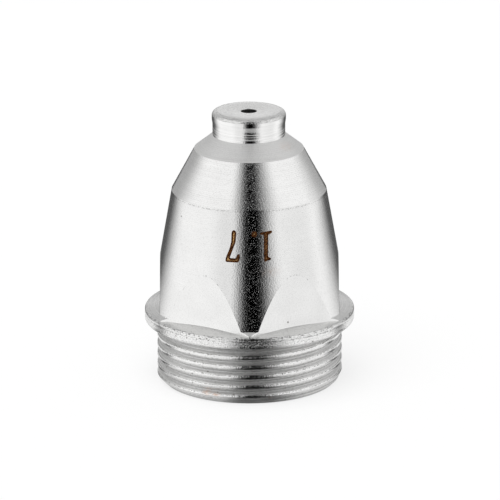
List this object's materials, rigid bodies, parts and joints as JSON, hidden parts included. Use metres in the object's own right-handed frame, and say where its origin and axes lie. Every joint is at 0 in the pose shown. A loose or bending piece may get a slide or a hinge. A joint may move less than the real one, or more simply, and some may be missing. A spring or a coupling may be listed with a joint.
{
  "type": "plasma torch nozzle",
  "caption": "Plated copper cutting nozzle: tapered nose with a small orifice, wrench flats, a thin flange and a threaded, hollow lower end.",
  "frame": {"origin": "centre of the thread end's bottom face, on the axis", "axes": "+Z along the axis from the thread end up to the orifice; a corner of the wrench hexagon points to -Y, towards the picture's camera"},
  "size_m": [0.0224, 0.0224, 0.0295],
  "materials": {
    "plated_copper": "satin silver-coloured plating over copper, with fine turning marks"
  },
  "bodies": {
    "root": {"nozzle": "plated_copper"}
  },
  "joints": []
}
